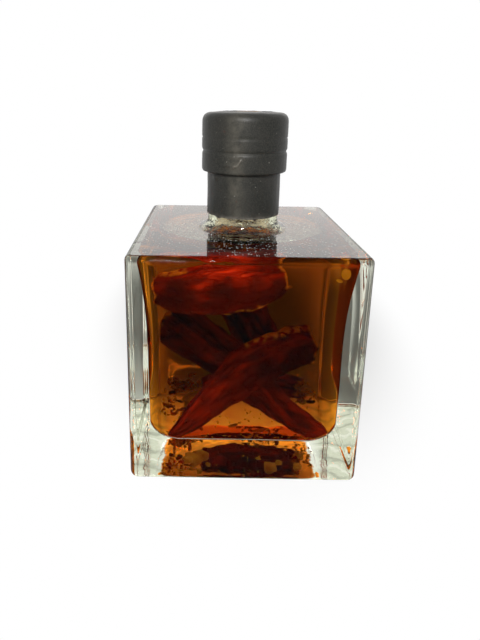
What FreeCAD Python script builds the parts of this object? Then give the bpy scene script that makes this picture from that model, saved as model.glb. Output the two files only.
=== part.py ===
import FreeCAD, Part
import math
import os

from FreeCAD import Vector

# A square glass bottle of chili oil, closed by a bar-top stopper under a shrink capsule.
# Millimetres, +Z up. The origin is the middle of the underside.

# Glass body
BODY_WIDTH = 75.0           # across flats, the same both ways
BODY_HEIGHT = 77.4          # underside to the flat top face
BODY_EDGE_RADIUS = 3.0      # upright edges
BODY_RIM_RADIUS = 1.8       # edges round the top face and the underside

# Cavity: narrow at its waist, and wider again under the shoulder, where the glass is thin
BASE_THICKNESS = 9.8
FLOOR_CROWN = 1.0           # how far the middle of the cavity's floor is pushed up
FLOOR_ROUND = 9.0           # round between the floor and the walls
WAIST_WALL = 6.0
WAIST_HEIGHT = 42.0         # above the underside
SHOULDER_WALL = 2.9
SHOULDER_THICKNESS = 2.9    # glass over the edge of the cavity's roof
CAVITY_CORNER_RADIUS = 7.0
ROOF_SLOPE = 3.0            # degrees, rising to the neck
ROOF_MARGIN = 1.6           # flat strip between the cavity's wall and the sloping roof
FLOOR_STEPS = 5             # sections through the round at the floor
LOW_WALL_STEPS = 3          # sections from that round to the waist
WALL_STEPS = 5              # sections from the waist to the roof

# Neck and finish
NECK_RADIUS = 12.7
NECK_WALL = 3.45
NECK_FLARE = 5.5            # hollow round where the top face rises into the neck
BORE_FLARE = 7.5            # the same inside
NECK_LENGTH = 21.2          # from the top face to the underside of the finish ring
FINISH_STAND = 1.95         # how far the finish ring stands out from the neck
FINISH_HEIGHT = 6.9
FINISH_EDGE = 0.8           # chamfer under the finish ring
MOUTH_EDGE = 0.6            # round at the ring's upper edge

# Oil: it wets the corners of the roof and leaves a flat round pocket of air under the neck
AIR_INSET = 6.0             # from the edge of the sloping roof to the pocket's rim
AIR_DEPTH = 1.8             # from the edge of the roof down to the oil's level

# Bar-top stopper
STOPPER_STAND = 0.1         # how far the head stands out past the finish ring
STOPPER_HEAD = 12.7
STOPPER_ROUND = 3.2         # round at the head's upper edge
STOPPER_CROWN = 0.9         # how far the middle of its top stands above that round
STOPPER_EDGE = 0.6          # chamfer at the head's lower edge
SHANK_LENGTH = 18.0
SHANK_CHAMFER = 1.0
SHANK_CLEARANCE = 0.1

# Shrink capsule
CAPSULE_THICKNESS = 0.3
CAPSULE_CLEARANCE = 0.05
CAPSULE_STAND = 5.7         # top face to the capsule's lower edge
CAPSULE_LIP = 1.9           # how far it is turned in past the stopper's round
GROOVE_HEIGHT = 1.2         # where the film sinks in between the stopper and the finish ring
GROOVE_DEPTH = 0.25

# Worked out from the sizes above
BORE_RADIUS = NECK_RADIUS - NECK_WALL
FINISH_RADIUS = NECK_RADIUS + FINISH_STAND
STOPPER_RADIUS = FINISH_RADIUS + STOPPER_STAND
ROOF_HEIGHT = BODY_HEIGHT - SHOULDER_THICKNESS
FINISH_BOTTOM = BODY_HEIGHT + NECK_LENGTH
FINISH_TOP = FINISH_BOTTOM + FINISH_HEIGHT
STOPPER_TOP = FINISH_TOP + STOPPER_HEAD
STOPPER_FLAT = STOPPER_RADIUS - STOPPER_ROUND
CROWN_RADIUS = (STOPPER_FLAT ** 2 + STOPPER_CROWN ** 2) / (2 * STOPPER_CROWN)
CROWN_CENTRE = STOPPER_TOP + STOPPER_CROWN - CROWN_RADIUS


def cavity_half_width(height):
    """Half the cavity's width: upright below the waist, then a parabola out to the shoulder."""
    rise = max(0.0, height - WAIST_HEIGHT) / (ROOF_HEIGHT - WAIST_HEIGHT)
    return BODY_WIDTH / 2 - WAIST_WALL + (WAIST_WALL - SHOULDER_WALL) * rise ** 2


ROOF_RADIUS = cavity_half_width(ROOF_HEIGHT) - ROOF_MARGIN
ROOF_RISE = math.tan(math.radians(ROOF_SLOPE))
AIR_RADIUS = ROOF_RADIUS - AIR_INSET
OIL_LEVEL = ROOF_HEIGHT - AIR_DEPTH


def rounded_square(half_width, corner_radius, height):
    """A level closed wire with four straight sides and four round corners."""
    straight = half_width - corner_radius
    edges = []
    for quarter in range(4):
        turn = quarter * 90.0
        start = spun(half_width, -straight, turn, height)
        end = spun(half_width, straight, turn, height)
        middle = straight + corner_radius * math.sqrt(0.5)
        following = spun(half_width, -straight, turn + 90.0, height)
        edges.append(Part.LineSegment(start, end).toShape())
        edges.append(Part.Arc(end, spun(middle, middle, turn, height), following).toShape())
    return Part.Wire(edges)


def spun(x, y, degrees, height):
    """The point (x, y) turned about the axis of the bottle, at a height."""
    a = math.radians(degrees)
    return Vector(x * math.cos(a) - y * math.sin(a), x * math.sin(a) + y * math.cos(a), height)


def at(radius, height):
    """A point of a section that is turned about the axis."""
    return Vector(radius, 0, height)


def turned(edges):
    """The solid that a closed half section makes when it turns about the axis."""
    face = Part.Face(Part.Wire(edges))
    return face.revolve(Vector(0, 0, 0), Vector(0, 0, 1), 360)


def run(*points):
    """Straight edges from point to point."""
    return [Part.LineSegment(a, b).toShape() for a, b in zip(points, points[1:])]


def round_edge(start, end, centre, radius, degrees):
    """An arc from start to end through the point of its circle at an angle above the radial axis."""
    a = math.radians(degrees)
    middle = at(centre.x + radius * math.cos(a), centre.z + radius * math.sin(a))
    return [Part.Arc(start, middle, end).toShape()]


def body_block():
    """The cube of glass with its upright edges rounded, then its rims."""
    corner = Vector(-BODY_WIDTH / 2, -BODY_WIDTH / 2, 0)
    block = Part.makeBox(BODY_WIDTH, BODY_WIDTH, BODY_HEIGHT, corner)
    upright = [e for e in block.Edges if abs(e.tangentAt(e.FirstParameter).z) > 0.9]
    block = block.makeFillet(BODY_EDGE_RADIUS, upright)
    rims = [e for e in block.Edges if e.BoundBox.ZLength < 1e-6]
    return block.makeFillet(BODY_RIM_RADIUS, rims)


def neck_block():
    """The solid neck: a flare out of the top face, the straight neck and the finish ring."""
    foot = BODY_HEIGHT - SHOULDER_THICKNESS / 2
    flare_radius = NECK_RADIUS + NECK_FLARE
    flare_top = BODY_HEIGHT + NECK_FLARE
    edges = run(at(0, FINISH_TOP), at(0, foot), at(flare_radius, foot), at(flare_radius, BODY_HEIGHT))
    edges += round_edge(
        at(flare_radius, BODY_HEIGHT), at(NECK_RADIUS, flare_top),
        at(flare_radius, flare_top), NECK_FLARE, 225)
    edges += run(
        at(NECK_RADIUS, flare_top), at(NECK_RADIUS, FINISH_BOTTOM),
        at(FINISH_RADIUS - FINISH_EDGE, FINISH_BOTTOM), at(FINISH_RADIUS, FINISH_BOTTOM + FINISH_EDGE),
        at(FINISH_RADIUS, FINISH_TOP - MOUTH_EDGE))
    edges += round_edge(
        at(FINISH_RADIUS, FINISH_TOP - MOUTH_EDGE), at(FINISH_RADIUS - MOUTH_EDGE, FINISH_TOP),
        at(FINISH_RADIUS - MOUTH_EDGE, FINISH_TOP - MOUTH_EDGE), MOUTH_EDGE, 45)
    edges += run(at(FINISH_RADIUS - MOUTH_EDGE, FINISH_TOP), at(0, FINISH_TOP))
    return turned(edges)


def cavity_walls():
    """The square part of the cavity, from its rounded floor to the edge of its roof."""
    sections = []
    for step in range(FLOOR_STEPS + 1):
        a = math.radians(90.0 * step / FLOOR_STEPS)
        height = BASE_THICKNESS + FLOOR_ROUND * (1 - math.cos(a))
        full = cavity_half_width(height)
        half = full - FLOOR_ROUND * (1 - math.sin(a))
        sections.append(rounded_square(half, CAVITY_CORNER_RADIUS * half / full, height))
    round_top = BASE_THICKNESS + FLOOR_ROUND
    heights = [round_top + (WAIST_HEIGHT - round_top) * i / LOW_WALL_STEPS for i in range(1, LOW_WALL_STEPS)]
    heights += [WAIST_HEIGHT + (ROOF_HEIGHT - WAIST_HEIGHT) * i / WALL_STEPS for i in range(WALL_STEPS + 1)]
    for height in heights:
        sections.append(rounded_square(cavity_half_width(height), CAVITY_CORNER_RADIUS, height))
    walls = Part.makeLoft(sections, True, False)
    reach = cavity_half_width(BASE_THICKNESS) - FLOOR_ROUND
    crown_radius = (reach ** 2 + FLOOR_CROWN ** 2) / (2 * FLOOR_CROWN)
    crown = Part.makeSphere(crown_radius, Vector(0, 0, BASE_THICKNESS + FLOOR_CROWN - crown_radius))
    return walls.cut(crown)


def cavity_roof():
    """The turned part of the cavity: the sloping roof, the flare into the neck, and the bore."""
    a = math.radians(ROOF_SLOPE)
    flare_end = BORE_RADIUS + BORE_FLARE * (1 - math.sin(a))
    flare_low = ROOF_HEIGHT + (ROOF_RADIUS - flare_end) * ROOF_RISE
    flare_centre = at(BORE_RADIUS + BORE_FLARE, flare_low + BORE_FLARE * math.cos(a))
    foot = ROOF_HEIGHT - ROOF_MARGIN
    edges = run(
        at(0, FINISH_TOP), at(0, foot), at(ROOF_RADIUS, foot), at(ROOF_RADIUS, ROOF_HEIGHT),
        at(flare_end, flare_low))
    edges += round_edge(
        at(flare_end, flare_low), at(BORE_RADIUS, flare_centre.z), flare_centre, BORE_FLARE, 225)
    edges += run(at(BORE_RADIUS, flare_centre.z), at(BORE_RADIUS, FINISH_TOP), at(0, FINISH_TOP))
    return turned(edges)


def air_space():
    """The air over the oil: a disc with a rounded rim under the roof, and all that is above it."""
    edges = run(at(0, FINISH_TOP), at(0, OIL_LEVEL), at(AIR_RADIUS - AIR_DEPTH, OIL_LEVEL))
    edges += round_edge(
        at(AIR_RADIUS - AIR_DEPTH, OIL_LEVEL), at(AIR_RADIUS, ROOF_HEIGHT),
        at(AIR_RADIUS - AIR_DEPTH, ROOF_HEIGHT), AIR_DEPTH, -45)
    edges += run(at(AIR_RADIUS, ROOF_HEIGHT), at(AIR_RADIUS, FINISH_TOP), at(0, FINISH_TOP))
    return turned(edges)


def crown_height(radius):
    """The height of the stopper's crowned top at a distance from the axis."""
    return CROWN_CENTRE + math.sqrt(CROWN_RADIUS ** 2 - radius ** 2)


def stopper():
    """A rounded head that sits on the finish ring, with the shank that plugs the bore."""
    shank = BORE_RADIUS - SHANK_CLEARANCE
    tip = FINISH_TOP - SHANK_LENGTH
    shoulder = STOPPER_TOP - STOPPER_ROUND
    edges = run(
        at(0, STOPPER_TOP + STOPPER_CROWN), at(0, tip), at(shank - SHANK_CHAMFER, tip),
        at(shank, tip + SHANK_CHAMFER), at(shank, FINISH_TOP),
        at(STOPPER_RADIUS - STOPPER_EDGE, FINISH_TOP), at(STOPPER_RADIUS, FINISH_TOP + STOPPER_EDGE),
        at(STOPPER_RADIUS, shoulder))
    edges += round_edge(
        at(STOPPER_RADIUS, shoulder), at(STOPPER_FLAT, STOPPER_TOP), at(STOPPER_FLAT, shoulder),
        STOPPER_ROUND, 45)
    halfway = STOPPER_FLAT / 2
    edges.append(Part.Arc(
        at(STOPPER_FLAT, STOPPER_TOP), at(halfway, crown_height(halfway)),
        at(0, STOPPER_TOP + STOPPER_CROWN)).toShape())
    return turned(edges)


def capsule_line(offset):
    """Edges from the capsule's lower edge to its lip, lying this far outside what it covers."""
    neck = NECK_RADIUS + offset
    ring = STOPPER_RADIUS + offset
    step = FINISH_BOTTOM - offset
    groove = FINISH_TOP
    shoulder = STOPPER_TOP - STOPPER_ROUND
    round_radius = STOPPER_ROUND + offset
    round_end = at(STOPPER_FLAT, shoulder + round_radius)
    lip = STOPPER_FLAT - CAPSULE_LIP
    edges = run(
        at(neck, BODY_HEIGHT + CAPSULE_STAND), at(neck, step), at(ring - FINISH_EDGE, step),
        at(ring, step + FINISH_EDGE), at(ring, groove - GROOVE_HEIGHT / 2),
        at(ring - GROOVE_DEPTH, groove), at(ring, groove + GROOVE_HEIGHT / 2), at(ring, shoulder))
    edges += round_edge(
        at(ring, shoulder), round_end, at(STOPPER_FLAT, shoulder), round_radius, 45)
    edges += run(round_end, at(lip, crown_height(lip) + offset))
    return edges


def capsule():
    """The thin film that follows the neck, the ring and the head, with a round hole on top."""
    inner = capsule_line(CAPSULE_CLEARANCE)
    outer = capsule_line(CAPSULE_CLEARANCE + CAPSULE_THICKNESS)
    low = run(inner[0].Vertexes[0].Point, outer[0].Vertexes[0].Point)
    top = run(inner[-1].Vertexes[-1].Point, outer[-1].Vertexes[-1].Point)
    return turned(inner + top + list(reversed(outer)) + low)


def main():
    cavity = cavity_walls().fuse(cavity_roof()).removeSplitter()
    nodes = {
        "glass_bottle": body_block().fuse(neck_block()).removeSplitter().cut(cavity),
        "oil": cavity.cut(air_space()),
        "stopper": stopper(),
        "capsule": capsule(),
    }
    os.makedirs("parts", exist_ok=True)
    for name, shape in nodes.items():
        solid = shape.Solids[0]
        print(name, "solids", len(shape.Solids), "valid", solid.isValid(),
              "volume ml", round(solid.Volume / 1000, 2))
        solid.exportStep(f"parts/{name}.step")


main()
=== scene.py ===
from math import ceil, copysign, cos, exp, hypot, pi, radians, sin, sqrt, tan

import bmesh
import bpy
import numpy as np
from mathutils import Matrix, Vector, noise


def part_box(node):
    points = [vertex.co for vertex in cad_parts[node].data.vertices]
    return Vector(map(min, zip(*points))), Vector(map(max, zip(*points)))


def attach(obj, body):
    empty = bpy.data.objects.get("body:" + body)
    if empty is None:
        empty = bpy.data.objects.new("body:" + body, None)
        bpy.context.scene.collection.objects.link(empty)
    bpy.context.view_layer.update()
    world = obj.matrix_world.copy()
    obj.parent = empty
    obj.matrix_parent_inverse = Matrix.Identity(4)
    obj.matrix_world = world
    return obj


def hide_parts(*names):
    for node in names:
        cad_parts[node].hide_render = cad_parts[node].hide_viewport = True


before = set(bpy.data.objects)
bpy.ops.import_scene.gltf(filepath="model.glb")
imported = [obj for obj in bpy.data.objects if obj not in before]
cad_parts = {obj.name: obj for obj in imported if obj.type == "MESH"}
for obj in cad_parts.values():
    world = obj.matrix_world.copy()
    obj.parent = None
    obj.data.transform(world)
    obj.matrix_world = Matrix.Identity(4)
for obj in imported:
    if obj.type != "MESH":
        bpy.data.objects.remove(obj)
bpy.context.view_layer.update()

MM = 0.001
GLASS_IOR = 1.52
OIL_IOR = 1.47
rng = np.random.default_rng(7)

# ---- sizes, mm, from the frame's boxes
body_low, glass_high = (np.array(c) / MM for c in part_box("glass_bottle"))
oil_low = np.array(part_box("oil")[0]) / MM
capsule_low, capsule_high = (np.array(c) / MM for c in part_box("capsule"))
stopper_high = np.array(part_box("stopper")[1]) / MM

WIDTH = glass_high[0] - body_low[0]
FINISH_TOP = glass_high[2]
BODY_HEIGHT = 77.4
EDGE = 3.0  # round of the upright edges
RIM = 1.8  # round of the edges at the foot and the top
FLAT = 0.5  # flat strip next to a round edge
BASE = oil_low[2]
CROWN = 1.0  # how far the cavity's floor rises in its middle
FLOOR_ROUND = 9.0
WAIST_WALL = 6.0  # the walls are this thick up to the waist and thin out above it
WAIST_HEIGHT = 42.0
SHOULDER_WALL = 2.9
ROOF = BODY_HEIGHT - 2.9
ROOF_ROUND = 1.3  # where the wall turns into the roof
CORNER = 7.0  # round of the cavity's upright corners
ROOF_RADIUS = WIDTH / 2 - SHOULDER_WALL - 1.6
ROOF_SLOPE = radians(3.0)
ROOF_RISE = tan(ROOF_SLOPE)
TOP_CIRCLE = 31.0  # the largest circle laid on the flat foot and the flat top
NECK = 12.7
NECK_FLARE = 3.8  # tighter than the solid's, as the glass shows it
NECK_TOP = BODY_HEIGHT + 15.0  # the flare's material goes up to here
BORE = 9.25
BORE_FLARE = 7.5
FINISH_BOTTOM = BODY_HEIGHT + 21.2  # the finish is the ring round the mouth
FINISH_RADIUS = 14.65
FINISH_EDGE = 0.8
MOUTH_EDGE = 0.6
AIR_WIDE = 29.8  # the air pocket is a broad oval, a little behind the neck
AIR_DEEP = 19.6
AIR_BACK = 1.5
AIR_DEPTH = 1.8
OIL_LEVEL = ROOF - AIR_DEPTH
SILT_TOP = BASE + 1.6  # silt lies on the floor up to here
SKIN = 0.07  # how far the oil reaches into the glass

# ---- rings
SIDE_STEPS = [0.0, 0.006] + [0.006 + 0.988 * i / 22 for i in range(1, 22)] + [0.994]
CORNER_STEPS = 12
COLUMNS = 4 * (len(SIDE_STEPS) + CORNER_STEPS)


def square_ring(half, corner, z):
    """A level ring of COLUMNS points: four straight sides and four round corners."""
    straight = half - corner
    quarter = [(half, straight * (2 * t - 1)) for t in SIDE_STEPS]
    for i in range(CORNER_STEPS):
        a = pi / 2 * i / CORNER_STEPS
        quarter.append((straight + corner * cos(a), straight + corner * sin(a)))
    ring = []
    for c, s in ((1, 0), (0, 1), (-1, 0), (0, -1)):
        ring += [(x * c - y * s, x * s + y * c, z) for x, y in quarter]
    return np.array(ring)


DIRECTIONS = square_ring(WIDTH / 2, EDGE, 0.0)[:, :2]
DIRECTIONS = DIRECTIONS / np.linalg.norm(DIRECTIONS, axis=1)[:, None]


def round_ring(radius, z):
    """A level circle with the same columns as the square rings."""
    ring = np.empty((COLUMNS, 3))
    ring[:, :2] = DIRECTIONS * radius
    ring[:, 2] = z
    return ring


def arc(steps, first=0):
    """Angles of a quarter turn, in steps."""
    return [pi / 2 * i / steps for i in range(first, steps + 1)]


def full_turn(count):
    """Angles of a full turn."""
    return [2 * pi * k / count for k in range(count)]


def tube_faces(rows, n, start=0):
    """Quads between rows of n points, closed round. The first row's points start at start."""
    faces = []
    for low in range(start, start + (rows - 1) * n, n):
        for k in range(n):
            j = (k + 1) % n
            faces.append((low + k, low + j, low + n + j, low + n + k))
    return faces


def ring_mesh(name, low_pole, rings, high_pole, slots):
    """A closed mesh from a pole through rings to a pole. slots gives each band's number."""
    n = len(rings[0])
    points = [tuple(low_pole)] + [tuple(p) for ring in rings for p in ring] + [tuple(high_pole)]
    top = len(points) - 1
    faces = [(0, 1 + (i + 1) % n, 1 + i) for i in range(n)]
    faces += tube_faces(len(rings), n, 1)
    faces += [(top, top - n + i, top - n + (i + 1) % n) for i in range(n)]
    return new_mesh(name, np.array(points), faces, np.repeat(slots, n).tolist())


def new_mesh(name, points_mm, faces, index=None):
    """An object with a smooth mesh whose faces look outwards."""
    mesh = bpy.data.meshes.new(name)
    mesh.from_pydata([tuple(p) for p in np.asarray(points_mm) * MM], [], faces)
    if index is not None:
        mesh.polygons.foreach_set("material_index", index)
    mesh.polygons.foreach_set("use_smooth", [True] * len(mesh.polygons))
    mesh.update()
    bm = bmesh.new()
    bm.from_mesh(mesh)
    bmesh.ops.recalc_face_normals(bm, faces=bm.faces)
    if bm.calc_volume(signed=True) < 0:
        bmesh.ops.reverse_faces(bm, faces=bm.faces)
    bm.to_mesh(mesh)
    bm.free()
    return linked(name, mesh)


def linked(name, data):
    """A new object in the scene."""
    piece = bpy.data.objects.new(name, data)
    bpy.context.scene.collection.objects.link(piece)
    return piece


def keep_values(piece, domain, values):
    """Stores named numbers on the points or faces of a piece, for its material to read."""
    for key, numbers in values.items():
        layer = piece.data.attributes.new(key, "FLOAT", domain)
        layer.data.foreach_set("value", numbers)


# ---- glass: outside
def outside_rings():
    """From the foot's middle out, up the sides, in over the top, up the neck and into the mouth."""
    half = WIDTH / 2
    flat = half - RIM
    inner_edge = EDGE - RIM
    rings = [round_ring(r, 0.0) for r in (8.0, 20.0, TOP_CIRCLE)]
    rings += [square_ring(flat - FLAT, inner_edge, 0.0)]
    for a in arc(7):
        out = RIM * sin(a)
        rings.append(square_ring(flat + out, inner_edge + out, RIM - RIM * cos(a)))
    for z in (RIM + FLAT, 12, 25, 38, 51, 64, BODY_HEIGHT - RIM - FLAT):
        rings.append(square_ring(half, EDGE, z))
    for a in arc(7):
        out = RIM * cos(a)
        rings.append(square_ring(flat + out, inner_edge + out,
                                 BODY_HEIGHT - RIM + RIM * sin(a)))
    rings += [square_ring(flat - FLAT, inner_edge, BODY_HEIGHT)]
    rings += [round_ring(r, BODY_HEIGHT) for r in (TOP_CIRCLE, 25.0, NECK + NECK_FLARE + 0.6)]
    rings += [round_ring(NECK + NECK_FLARE * (1 - sin(a)), BODY_HEIGHT + NECK_FLARE * (1 - cos(a)))
              for a in arc(12)]
    rings += [round_ring(NECK, z) for z in (88, 93, FINISH_BOTTOM - 0.3)]
    for r, z in ((NECK, FINISH_BOTTOM), (FINISH_RADIUS - FINISH_EDGE, FINISH_BOTTOM),
                 (FINISH_RADIUS, FINISH_BOTTOM + FINISH_EDGE),
                 (FINISH_RADIUS, FINISH_TOP - MOUTH_EDGE),
                 (FINISH_RADIUS - 0.18, FINISH_TOP - 0.18),
                 (FINISH_RADIUS - MOUTH_EDGE, FINISH_TOP), (BORE + 0.1, FINISH_TOP),
                 (BORE, FINISH_TOP - 0.1)):
        rings.append(round_ring(r, z))
    return rings


# ---- cavity
def cavity_half(z):
    """Half the cavity's width at a height: straight up to the waist, wider towards the shoulder."""
    rise = max(0.0, z - WAIST_HEIGHT) / (ROOF - WAIST_HEIGHT)
    return WIDTH / 2 - WAIST_WALL + (WAIST_WALL - SHOULDER_WALL) * rise ** 2


def wavy(rings):
    """Blown glass is never quite flat inside: long shallow waves, stronger near the shoulder."""
    out = []
    for ring in rings:
        moved = ring.copy()
        for i, p in enumerate(ring):
            flat = hypot(p[0], p[1])
            if flat < 1e-6:
                continue
            long_wave = Vector((p[0] / 15.0, p[1] / 15.0, p[2] / 21.0))
            short_wave = Vector((p[0] / 6.5 + 9, p[1] / 6.5, p[2] / 13.0))
            high = min(1.0, max(0.0, (p[2] - 50.0) / 18.0))
            push = 0.16 * noise.noise(long_wave) + (0.02 + 0.07 * high) * noise.noise(short_wave)
            moved[i, :2] += p[:2] / flat * push
        out.append(moved)
    return out


def wall_rings():
    """From the floor's middle out, up the walls and into the round under the roof."""
    rings = []
    reach = WIDTH / 2 - WAIST_WALL - FLOOR_ROUND
    floor_corner = CORNER * (1 - FLOOR_ROUND / (reach + FLOOR_ROUND))
    for share in (0.25, 0.5, 0.75, 0.92):
        ring = square_ring(reach * share, floor_corner * share, BASE)
        far = np.minimum(1.0, np.hypot(ring[:, 0], ring[:, 1]) / reach)
        ring[:, 2] += CROWN * np.maximum(0.0, 1 - far ** 2)
        rings.append(ring)
    for a in arc(12):
        z = BASE + FLOOR_ROUND * (1 - cos(a))
        full = cavity_half(z)
        half = full - FLOOR_ROUND * (1 - sin(a))
        rings.append(square_ring(half, CORNER * half / full, z))
    start = BASE + FLOOR_ROUND
    end = ROOF - ROOF_ROUND
    bands = 27
    for i in range(1, bands):
        z = start + (end - start) * i / bands
        rings.append(square_ring(cavity_half(z), CORNER, z))
    for a in arc(6):
        z = end + ROOF_ROUND * sin(a)
        inset = ROOF_ROUND * (1 - cos(a))
        rings.append(square_ring(cavity_half(z) - inset, CORNER - inset, z))
    return rings


def roof_height(radius):
    """The roof rises a little towards the neck."""
    return ROOF + (ROOF_RADIUS - radius) * ROOF_RISE


def roof_ring(radius):
    return round_ring(radius, roof_height(radius))


def pocket_ring(inset=0.0, share=1.0, inner=0.0):
    """The air pocket's oval on the roof; share below 1 draws it towards a circle, inner."""
    ring = round_ring(1.0, 0.0)
    circle = round_ring(inner, 0.0)
    ring[:, 0] *= AIR_WIDE - inset
    ring[:, 1] = ring[:, 1] * (AIR_DEEP - inset) + AIR_BACK
    ring = ring * share + circle * (1 - share)
    ring[:, 2] = roof_height(np.hypot(ring[:, 0], ring[:, 1]))
    return ring


def bore_rings():
    """On from the air pocket's rim: the roof over the air, the flare, the bore up to the mouth."""
    flare_end = BORE + BORE_FLARE * (1 - sin(ROOF_SLOPE))
    centre = roof_height(flare_end) + BORE_FLARE * cos(ROOF_SLOPE)
    flare_rim = flare_end + 0.5
    rings = [pocket_ring(0.0, share, flare_rim) for share in (0.8, 0.55, 0.3)]
    rings.append(roof_ring(flare_rim))
    steps = 12
    for i in range(steps + 1):
        a = ROOF_SLOPE + (pi / 2 - ROOF_SLOPE) * i / steps
        rings.append(round_ring(BORE + BORE_FLARE * (1 - sin(a)),
                                centre - BORE_FLARE * cos(a)))
    rings += [round_ring(BORE, z) for z in (88.0, 95.0, 102.0)]
    return rings


# the glass's material slots
SIDES, WETTED, TOP, NECK_INSIDE, FLARE, SILTED, FOOT = range(7)


def outside_slot(ring):
    """The slot of the band that starts at a ring of the outside."""
    z = ring[:, 2].max()
    if z < RIM / 2:
        return FOOT
    if abs(z - BODY_HEIGHT) < 0.01:
        return TOP
    return FLARE if BODY_HEIGHT < z < NECK_TOP else SIDES


def inside_slot(ring):
    """The slot of the band that starts at a ring of the cavity, counted from the roof down."""
    return SILTED if ring[:, 2].max() < SILT_TOP else WETTED


contact = wavy(wall_rings()) + [roof_ring(ROOF_RADIUS), roof_ring(31.3), pocket_ring()]
floor_middle = (0.0, 0.0, BASE + CROWN)

# the outside rings run up and in over the mouth; the cavity's run back down to its floor
outer = outside_rings()
bore = bore_rings()
glass_slots = [FOOT] + [outside_slot(ring) for ring in outer] + [NECK_INSIDE] * len(bore)
glass_slots += [inside_slot(ring) for ring in reversed(contact)]
glass = ring_mesh("bottle_glass", (0, 0, 0), outer + bore[::-1] + contact[::-1], floor_middle,
                  glass_slots)


def pushed_out(piece, ring_share):
    """Moves each vertex along its normal by SKIN times its ring's share."""
    mesh = piece.data
    places = np.empty(len(mesh.vertices) * 3)
    normals = np.empty(len(mesh.vertices) * 3)
    mesh.vertices.foreach_get("co", places)
    mesh.vertex_normals.foreach_get("vector", normals)
    share = np.concatenate([[ring_share[0]], np.repeat(ring_share, COLUMNS), [ring_share[-1]]])
    places = places.reshape(-1, 3) + normals.reshape(-1, 3) * share[:, None] * SKIN * MM
    mesh.vertices.foreach_set("co", places.ravel())
    mesh.update()


def oil_piece():
    """The oil: the cavity's rings, then the meniscus and the level under the pocket of air."""
    surface = []
    for a in arc(8, 1):
        ring = pocket_ring(AIR_DEPTH * (1 - cos(a)))
        ring[:, 2] = ring[:, 2] * (1 - sin(a)) + OIL_LEVEL * sin(a)
        surface.append(ring)
    for share in (0.9, 0.6, 0.3):
        ring = pocket_ring(AIR_DEPTH) * share
        ring[:, 2] = OIL_LEVEL
        surface.append(ring)
    # one material for all of it, since rays that enter and leave by two would carry its colour out
    piece = ring_mesh("chili_oil", floor_middle, contact + surface, (0, 0, OIL_LEVEL),
                      [0] * (len(contact) + len(surface) + 1))
    in_air = np.repeat([0.0] * len(contact) + [1.0] * (len(surface) + 1), COLUMNS)
    keep_values(piece, "FACE", {"in_air": in_air})
    pushed_out(piece, [1.0] * len(contact) + [0.0] * len(surface))
    return piece


oil = oil_piece()


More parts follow.
